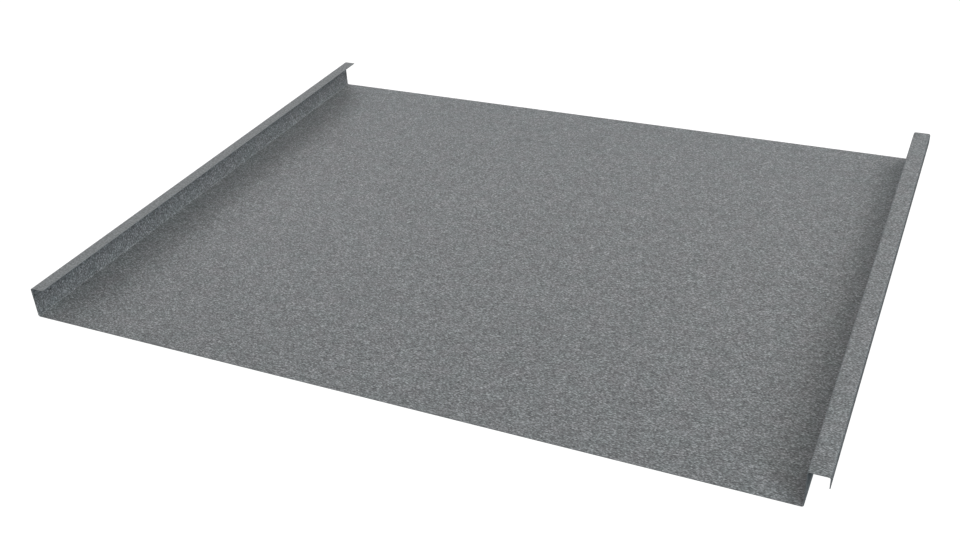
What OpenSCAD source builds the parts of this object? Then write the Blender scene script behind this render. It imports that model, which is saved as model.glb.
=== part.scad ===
// Standing seam roof panel: one strip of sheet metal with five square bends.
// The male leg on the left ends in a flange turned in over the pan. The female leg on the right
// ends in a flange turned out, with a lip that hooks over the next panel's male leg.
// Origin: middle of the panel's outline, on the level of the pan's underside.
// X runs across the panel, Y along its seams and Z up.

/* [Sheet] */
// Width of the flat strip before folding
strip_w = 600; // [450:1:800]
// Length of the panel along its seams
panel_l = 431.5; // [200:0.5:3000]
// Thickness of the sheet
sheet_t = 0.5; // [0.4:0.1:0.8]
// Radius on the inside of every bend
bend_r = 1; // [0.5:0.1:1.5]

/* [Female leg] */
// Height from the pan's underside to the top of the flange
female_leg_h = 24.5; // [20:0.1:45]
// Width of the flange, from the leg's outer face to the lip's outer face
female_flange_w = 12; // [10:0.1:16]
// Height of the lip, from the top of the flange to its free edge
lip_h = 7.8; // [6:0.1:14]

/* [Play in the seam] */
// Gap for a fixing clip between the female flange and the male flange under it
clip_gap = 0.8; // [0.4:0.1:1.2]
// Gap between the lip and the male flange's free edge
lip_gap = 1; // [0.4:0.1:1.5]

/* [Hidden] */

// Smoothness of the bends
$fn = 64;

// The male leg fits under the female flange and inside the lip of the panel before it
male_leg_h = female_leg_h - sheet_t - clip_gap;
male_flange_w = female_flange_w - sheet_t - lip_gap;

// The bends in their order along the strip. A turn of 1 goes up and a turn of -1 goes down.
turns = [1, 1, 1, -1, -1];
right_angle = 90;

// Outside radius of a bend, and the strip that the bend takes up along its neutral line
outer_r = bend_r + sheet_t;
neutral_share = 0.44;
bend_strip = PI / 2 * (bend_r + neutral_share * sheet_t);

// The strip's flats, from the male flange's free edge to the lip's, without their bends
male_flange_flat = male_flange_w - outer_r;
male_leg_flat = male_leg_h - 2 * outer_r;
female_leg_flat = female_leg_h - 2 * outer_r;
female_flange_flat = female_flange_w - bend_r - outer_r;
lip_flat = lip_h - outer_r;

// The pan gets what the strip has left
side_flats = male_flange_flat + male_leg_flat + female_leg_flat + female_flange_flat + lip_flat;
pan_flat = strip_w - side_flats - len(turns) * bend_strip;
flats = [male_flange_flat, male_leg_flat, pan_flat, female_leg_flat, female_flange_flat, lip_flat];

// Width over the outer faces of both legs, which a laid panel covers, and width over everything
cover_w = pan_flat + 2 * outer_r;
overall_w = cover_w + female_flange_w;

// One right-angled bend, from a sheet that comes along +X with its lower face on the X axis
module bend(turn) {
  centre_y = turn > 0 ? outer_r : -bend_r;
  translate([0, centre_y])
    rotate(turn > 0 ? -right_angle : 0)
      intersection() {
        difference() {
          circle(r = outer_r);
          circle(r = bend_r);
        }
        square(outer_r);
      }
}

// Puts what follows at the end of a bend, headed the way the sheet goes on
module past_bend(turn) {
  lower_face_r = turn > 0 ? outer_r : bend_r;
  translate([lower_face_r, turn * lower_face_r])
    rotate(turn * right_angle)
      children();
}

// The sheet's section: flat i, the bend after it, and then the rest of the strip
module folded_strip(i = 0) {
  square([flats[i], sheet_t]);
  if (i < len(turns))
    translate([flats[i], 0]) {
      bend(turns[i]);
      past_bend(turns[i]) folded_strip(i + 1);
    }
}

// The strip starts at the male flange's free edge, headed for the male leg
module roof_panel() {
  color("#76797b")
    rotate([right_angle, 0, 0])
      linear_extrude(height = panel_l, center = true)
        translate([male_flange_w - overall_w / 2, male_leg_h])
          rotate(2 * right_angle)
            folded_strip();
}

roof_panel();
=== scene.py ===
# Standing seam roof panel: one folded sheet with a matte, finely flecked coating
import math

import bmesh
import bpy
from mathutils import Matrix, Vector


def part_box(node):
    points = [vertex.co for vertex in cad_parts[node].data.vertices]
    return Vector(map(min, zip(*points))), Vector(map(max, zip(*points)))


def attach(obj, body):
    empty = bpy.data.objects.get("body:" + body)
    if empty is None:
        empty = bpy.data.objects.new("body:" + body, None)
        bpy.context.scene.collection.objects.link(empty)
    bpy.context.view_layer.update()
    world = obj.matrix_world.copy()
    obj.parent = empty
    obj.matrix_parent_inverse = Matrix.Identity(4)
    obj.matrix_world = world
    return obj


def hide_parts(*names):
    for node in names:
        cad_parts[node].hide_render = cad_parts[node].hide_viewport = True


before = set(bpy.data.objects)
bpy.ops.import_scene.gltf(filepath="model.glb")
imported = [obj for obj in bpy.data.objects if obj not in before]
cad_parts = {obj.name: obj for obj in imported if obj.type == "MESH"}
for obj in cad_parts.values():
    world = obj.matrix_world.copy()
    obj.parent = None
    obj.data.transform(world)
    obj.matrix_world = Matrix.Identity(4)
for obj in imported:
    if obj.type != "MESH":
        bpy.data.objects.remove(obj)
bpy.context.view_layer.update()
panelLow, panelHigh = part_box("roof_panel")
print("frame loaded,", *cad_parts, [round(side, 4) for side in panelHigh - panelLow], "m")


# Small helpers

def opaque(colour):
    return (*colour, 1.0)


def clearSelection():
    if bpy.context.object and bpy.context.object.mode != "OBJECT":
        bpy.ops.object.mode_set(mode="OBJECT")
    bpy.ops.object.select_all(action="DESELECT")


# Works in edit mode
def selectEdges(piece, wanted):
    mesh = bmesh.from_edit_mesh(piece.data)
    bpy.ops.mesh.select_all(action="DESELECT")
    for edge in mesh.edges:
        if wanted(edge):
            edge.select_set(True)
    mesh.select_flush_mode()
    bmesh.update_edit_mesh(piece.data)


def onSide(edge, side):
    return all(corner.co.x * side > 0 for corner in edge.verts)


def extrudeBy(step):
    bpy.ops.mesh.extrude_region_move(TRANSFORM_OT_translate={"value": step})


def applyModifiers(piece):
    for modifier in list(piece.modifiers):
        bpy.ops.object.modifier_apply(modifier=modifier.name)


# Camera: the photograph's viewpoint, 83 cm from where it aims on the pan

camera = {
    "place": (0.3114, -0.6912, 0.4370),
    "aim": (-0.0028, -0.0563, 0.0),
    "roll": -3.6,  # degrees
    "lens": 43.55,  # millimetres, and so is the sensor
    "sensor": 36.0,
    "nearest": 0.01,  # where its view begins
}


def makeCamera(values):
    cameraData = bpy.data.cameras.new("camera")
    cameraData.lens = values["lens"]
    cameraData.sensor_width = values["sensor"]
    cameraData.clip_start = values["nearest"]
    cameraObject = bpy.data.objects.new("camera", cameraData)
    bpy.context.scene.collection.objects.link(cameraObject)
    look = Vector(values["aim"]) - Vector(values["place"])
    turn = look.to_track_quat("-Z", "Y").to_matrix().to_4x4()
    roll = Matrix.Rotation(math.radians(values["roll"]), 4, "Z")
    cameraObject.matrix_world = Matrix.Translation(values["place"]) @ turn @ roll
    bpy.context.scene.camera = cameraObject


makeCamera(camera)
print("camera made")


# Finishes: a flecked coat on the weather side, a plain back coat on the reverse, bare cut edges

# A pattern's size is in metres, one all round or three along X, Y and Z. Its shift keeps patterns
# from lining up and is in patches of that size.
coat = {
    "panFlecks": {"size": (0.0013, 0.0006, 0.00127), "detail": 1.0, "shift": 0.0},
    "legFlecks": {"size": (0.0013, 0.00094, 0.0013), "detail": 1.0, "shift": 7.16},
    "legMiddle": 0.0121,  # height of the legs' middle, and how far up and down they reach from it
    "legReach": 0.0113,
    "fleckShades": (  # noise value and the colour it gives
        (0.22, (0.041, 0.043, 0.044)),
        (0.38, (0.140, 0.146, 0.150)),
        (0.50, (0.195, 0.203, 0.208)),
        (0.62, (0.306, 0.318, 0.326)),
        (0.78, (0.577, 0.600, 0.615)),
    ),
    "blotches": {"size": 0.006, "detail": 1.0, "shift": 3.1, "contrast": 0.38},
    "clouds": {"size": 0.03, "detail": 1.0, "shift": 5.7, "contrast": 0.06},
    "specks": {"spacing": 0.007, "radius": 0.1, "core": 0.05, "contrast": 0.5},
    "tints": {"size": 0.013, "detail": 1.0, "shift": 0.9},
    "warmTint": (1.022, 1.0, 1.006),
    "coolTint": (0.978, 1.0, 0.994),
    "roughness": (0.52, 0.66),  # of the dark and of the light flecks
    "fleckHeight": 0.00003,
}
backCoat = {
    "colour": (0.276, 0.286, 0.292),
    "gloss": 0.0,  # specular level
    "peel": {"size": (0.0016, 0.0012, 0.0016), "detail": 1.0, "shift": 2.3, "contrast": 1.25},
    "clouds": {"size": 0.02, "detail": 3.0, "shift": 0.0, "contrast": 0.05},
    "peelHeight": 0.000006,
    "roughness": (0.72, 0.80),
}
cutEdge = {
    "colour": (0.32, 0.333, 0.342),
    "metallic": 0.35,
    "grain": {"size": 0.0004, "detail": 2.0, "shift": 0.0, "contrast": 0.5},
    "roughness": (0.40, 0.60),
}
noiseMiddle = 0.5
noiseSpread = 0.2  # how far a noise strays from its middle


def newMaterial(name):
    material = bpy.data.materials.new(name)
    material.use_nodes = True
    return material, material.node_tree.nodes["Principled BSDF"]


# Each input is another node's socket to link from, or a plain value
def addNode(owner, kind, inputs, **settings):
    node = owner.node_tree.nodes.new("ShaderNode" + kind)
    for name, value in settings.items():
        setattr(node, name, value)
    for name, value in inputs.items():
        if isinstance(value, bpy.types.NodeSocket):
            owner.node_tree.links.new(value, node.inputs[name])
        else:
            node.inputs[name].default_value = value
    return node


def feed(owner, shader, socket, output):
    owner.node_tree.links.new(output, shader.inputs[socket])


def setStops(ramp, levels):
    while len(ramp.elements) < len(levels):
        ramp.elements.new(0.5)  # its place is set below
    for stop, (place, colour) in zip(ramp.elements, levels):
        stop.position = place
        stop.color = opaque(colour)


def objectPlace(material):
    return addNode(material, "TexCoord", {}).outputs["Object"]


def addNoise(material, pattern):
    size = pattern["size"]
    sizes = size if isinstance(size, tuple) else (size, size, size)
    place = addNode(material, "Mapping", {
        "Vector": objectPlace(material),
        "Scale": [1 / side for side in sizes],
        "Location": [pattern["shift"]] * len(sizes),
    })
    noise = addNode(material, "TexNoise", {
        "Vector": place.outputs["Vector"],
        "Scale": 1.0,
        "Detail": pattern["detail"],
    })
    return noise.outputs["Fac"]


# Turns a noise into values from low to high
def spread(material, noise, low, high):
    ranged = addNode(material, "MapRange", {
        "Value": noise,
        "From Min": noiseMiddle - noiseSpread,
        "From Max": noiseMiddle + noiseSpread,
        "To Min": low,
        "To Max": high,
    })
    return ranged.outputs["Result"]


# Noise around 1, to shade a colour with
def shadesOf(material, pattern):
    stray = pattern["contrast"] * noiseSpread
    return spread(material, addNoise(material, pattern), 1 - stray, 1 + stray)


def shadeBy(material, colour, *shades):
    for shade in shades:
        shaded = addNode(material, "VectorMath", {0: colour, "Scale": shade}, operation="SCALE")
        colour = shaded.outputs["Vector"]
    return colour


def addBump(material, shader, noise, height):
    bump = addNode(material, "Bump", {"Height": noise, "Distance": height})
    feed(material, shader, "Normal", bump.outputs["Normal"])


# Flecks of one kind on the pan and the female flange, and of another at all heights between them
def addFlecks(material, values):
    height = addNode(material, "SeparateXYZ", {"Vector": objectPlace(material)}).outputs["Z"]
    reach = {0: height, 1: values["legMiddle"], 2: values["legReach"]}
    onLegs = addNode(material, "Math", reach, operation="COMPARE").outputs["Value"]
    panFlecks = addNoise(material, values["panFlecks"])
    legFlecks = addNoise(material, values["legFlecks"])
    flecks = addNode(material, "Mix", {"Factor": onLegs, "A": panFlecks, "B": legFlecks})
    return flecks.outputs["Result"]


# Lighter dots that fade out from their core to their radius, both as shares of their spacing
def addSpecks(material, values):
    cells = addNode(material, "TexVoronoi", {
        "Vector": objectPlace(material),
        "Scale": 1 / values["spacing"],
    })
    specks = addNode(material, "MapRange", {
        "Value": cells.outputs["Distance"],
        "From Min": values["radius"],
        "From Max": values["core"],
        "To Min": 1.0,
        "To Max": 1 + values["contrast"],
    })
    return specks.outputs["Result"]


def makeCoat(values):
    material, shader = newMaterial("fleckedCoat")
    flecks = addFlecks(material, values)
    ramp = addNode(material, "ValToRGB", {"Fac": flecks})
    setStops(ramp.color_ramp, values["fleckShades"])
    blotches = shadesOf(material, values["blotches"])
    clouds = shadesOf(material, values["clouds"])
    specks = addSpecks(material, values["specks"])
    shaded = shadeBy(material, ramp.outputs["Color"], blotches, clouds, specks)

    tint = addNode(material, "MixRGB", {
        "Fac": spread(material, addNoise(material, values["tints"]), 0.0, 1.0),
        "Color1": opaque(values["warmTint"]),
        "Color2": opaque(values["coolTint"]),
    })
    factors = {0: shaded, 1: tint.outputs["Color"]}
    tinted = addNode(material, "VectorMath", factors, operation="MULTIPLY")
    feed(material, shader, "Base Color", tinted.outputs["Vector"])
    feed(material, shader, "Roughness", spread(material, flecks, *values["roughness"]))
    addBump(material, shader, flecks, values["fleckHeight"])
    return material


def makeBackCoat(values):
    material, shader = newMaterial("backCoat")
    shader.inputs["Specular IOR Level"].default_value = values["gloss"]
    clouds = shadesOf(material, values["clouds"])
    peelShades = shadesOf(material, values["peel"])
    feed(material, shader, "Base Color", shadeBy(material, values["colour"], clouds, peelShades))
    peel = addNoise(material, values["peel"])
    feed(material, shader, "Roughness", spread(material, peel, *values["roughness"]))
    addBump(material, shader, peel, values["peelHeight"])
    return material


def makeCutEdge(values):
    material, shader = newMaterial("cutEdge")
    shader.inputs["Metallic"].default_value = values["metallic"]
    grainShades = shadesOf(material, values["grain"])
    feed(material, shader, "Base Color", shadeBy(material, values["colour"], grainShades))
    grain = addNoise(material, values["grain"])
    feed(material, shader, "Roughness", spread(material, grain, *values["roughness"]))
    return material


# Panel: the sheet's middle surface is folded by extruding its edges, rounded and then made thick

folds = {
    "thickness": 0.0005,
    "insideRadius": 0.001,
    "maleLegHeight": 0.0232,
    "maleFlange": 0.0105,
    "femaleFlange": 0.012,
    "lip": 0.0078,
    "bendSegments": 12,
    "bendProfile": 0.5,  # round
    "edgeRounding": 0.00008,
    "edgeSegments": 2,
    "sharpFrom": 60,  # degrees between two faces, from which their edge is rounded
    "smoothUpTo": 35,  # and up to which it is shaded smooth
}
maleSide = -1  # the sign of X there
femaleSide = 1


def foldSheet(values):
    half = values["thickness"] / 2
    panLeft = panelLow.x + half
    panRight = panelHigh.x - values["femaleFlange"] - half
    panMiddle = ((panLeft + panRight) / 2, (panelLow.y + panelHigh.y) / 2, half)
    maleTop = values["maleLegHeight"] - half
    femaleTop = panelHigh.z - half

    clearSelection()
    bpy.ops.mesh.primitive_plane_add(size=1, location=panMiddle)
    piece = bpy.context.object
    piece.name = "foldedPanel"
    bpy.ops.object.mode_set(mode="EDIT")
    bpy.ops.transform.resize(value=(panRight - panLeft, panelHigh.y - panelLow.y, 1))
    selectEdges(piece, lambda edge: onSide(edge, maleSide))
    extrudeBy((0, 0, maleTop - half))
    extrudeBy((values["maleFlange"] - half, 0, 0))

    selectEdges(piece, lambda edge: onSide(edge, femaleSide))
    extrudeBy((0, 0, femaleTop - half))
    extrudeBy((values["femaleFlange"], 0, 0))
    extrudeBy((0, 0, half - values["lip"]))

    selectEdges(piece, lambda edge: len(edge.link_faces) == 2)  # the five folds
    bpy.ops.mesh.bevel(
        offset=values["insideRadius"] + half,
        offset_type="OFFSET",
        segments=values["bendSegments"],
        profile=values["bendProfile"],
        affect="EDGES",
    )
    bpy.ops.mesh.select_all(action="SELECT")
    bpy.ops.mesh.normals_make_consistent(inside=False)
    bpy.ops.object.mode_set(mode="OBJECT")
    bpy.ops.object.transform_apply(location=True, rotation=True, scale=True)
    return piece


def thicken(piece, values):
    thick = piece.modifiers.new("thickness", "SOLIDIFY")
    thick.thickness = values["thickness"]
    thick.offset = 0  # half to either side
    thick.use_even_offset = True
    thick.material_offset = 1  # the reverse face
    thick.material_offset_rim = 2  # the cut edges
    soft = piece.modifiers.new("softEdges", "BEVEL")
    soft.width = values["edgeRounding"]
    soft.segments = values["edgeSegments"]
    soft.limit_method = "ANGLE"
    soft.angle_limit = math.radians(values["sharpFrom"])
    applyModifiers(piece)
    bpy.ops.object.shade_smooth_by_angle(angle=math.radians(values["smoothUpTo"]))


def makePanel(values, finishes):
    piece = foldSheet(values)
    for finish in finishes:
        piece.data.materials.append(finish)
    thicken(piece, values)
    return piece


foldedPanel = makePanel(folds, [makeCoat(coat), makeBackCoat(backCoat), makeCutEdge(cutEdge)])
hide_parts("roof_panel")
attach(foldedPanel, "root")
print("panel folded and finished,", len(foldedPanel.data.polygons), "faces")


# Floor and light: a white floor that hardly takes a shadow, a pale sky and four soft boxes

floor = {
    "size": 30.0,
    "colour": (0.08, 0.08, 0.08),
    "glow": (1.0, 1.0, 1.0),
    "glowStrength": 1.0,
    "roughness": 0.9,
}
sky = {
    "bands": (  # degrees above the floor where a band of sky begins, and its light
        (0, (0.02, 0.015, 0.013)),  # also what comes from below
        (0.1, (0.486, 0.656, 0.712)),
        (15, (0.777, 0.669, 0.642)),
        (35, (0.776, 0.802, 0.799)),
        (60, (0.125, 0.069, 0.087)),
    ),
    "backdrop": (1.0, 1.0, 1.0),  # what the camera sees of it
}
softBoxes = {
    "distance": 2.0,  # from the panel's middle
    "size": 0.7,
    "boxes": {  # height above the floor and way round from +X in degrees, power in watts
        "leftBack": {"height": 25, "around": 140, "power": 3.11, "colour": (0.845, 0.91, 1.0)},
        "rightFront": {"height": 25, "around": -40, "power": 5.13, "colour": (0.727, 0.89, 1.0)},
        "rightBack": {"height": 40, "around": 40, "power": 7.10, "colour": (0.996, 0.936, 0.943)},
        "rightHigh": {"height": 70, "around": 0, "power": 2.54, "colour": (0.67, 1.0, 0.85)},
    },
}


def makeFloor(values):
    clearSelection()
    bpy.ops.mesh.primitive_plane_add(size=values["size"], location=(0, 0, 0))
    plane = bpy.context.object
    plane.name = "floor"
    plane.visible_diffuse = False  # it lights nothing, as in a picture cut out on white
    plane.visible_glossy = False
    material, shader = newMaterial("paleFloor")
    shader.inputs["Base Color"].default_value = opaque(values["colour"])
    shader.inputs["Roughness"].default_value = values["roughness"]
    shader.inputs["Emission Color"].default_value = opaque(values["glow"])
    shader.inputs["Emission Strength"].default_value = values["glowStrength"]
    plane.data.materials.append(material)


def makeSky(values):
    world = bpy.data.worlds.new("studio")
    bpy.context.scene.world = world
    world.use_nodes = True
    background = world.node_tree.nodes["Background"]
    direction = addNode(world, "TexCoord", {}).outputs["Generated"]
    height = addNode(world, "SeparateXYZ", {"Vector": direction}).outputs["Z"]
    light = addNode(world, "ValToRGB", {"Fac": height})
    light.color_ramp.interpolation = "CONSTANT"
    bands = [(math.sin(math.radians(start)), colour) for start, colour in values["bands"]]
    setStops(light.color_ramp, bands)
    shown = addNode(world, "MixRGB", {
        "Fac": addNode(world, "LightPath", {}).outputs["Is Camera Ray"],
        "Color1": light.outputs["Color"],
        "Color2": opaque(values["backdrop"]),
    })
    feed(world, background, "Color", shown.outputs["Color"])


def makeSoftBox(name, box, values):
    light = bpy.data.lights.new(name, "AREA")
    light.shape = "DISK"
    light.size = values["size"]
    light.energy = box["power"]
    light.color = box["colour"]
    lamp = bpy.data.objects.new(name, light)
    bpy.context.scene.collection.objects.link(lamp)
    height, around = math.radians(box["height"]), math.radians(box["around"])
    flat = math.cos(height)
    towards = Vector((flat * math.cos(around), flat * math.sin(around), math.sin(height)))
    lamp.location = towards * values["distance"]
    lamp.rotation_euler = towards.to_track_quat("Z", "Y").to_euler()


makeFloor(floor)
makeSky(sky)
for boxName, box in softBoxes["boxes"].items():
    makeSoftBox(boxName, box, softBoxes)
bpy.context.scene.view_settings.view_transform = "Standard"
print("floor and light made")
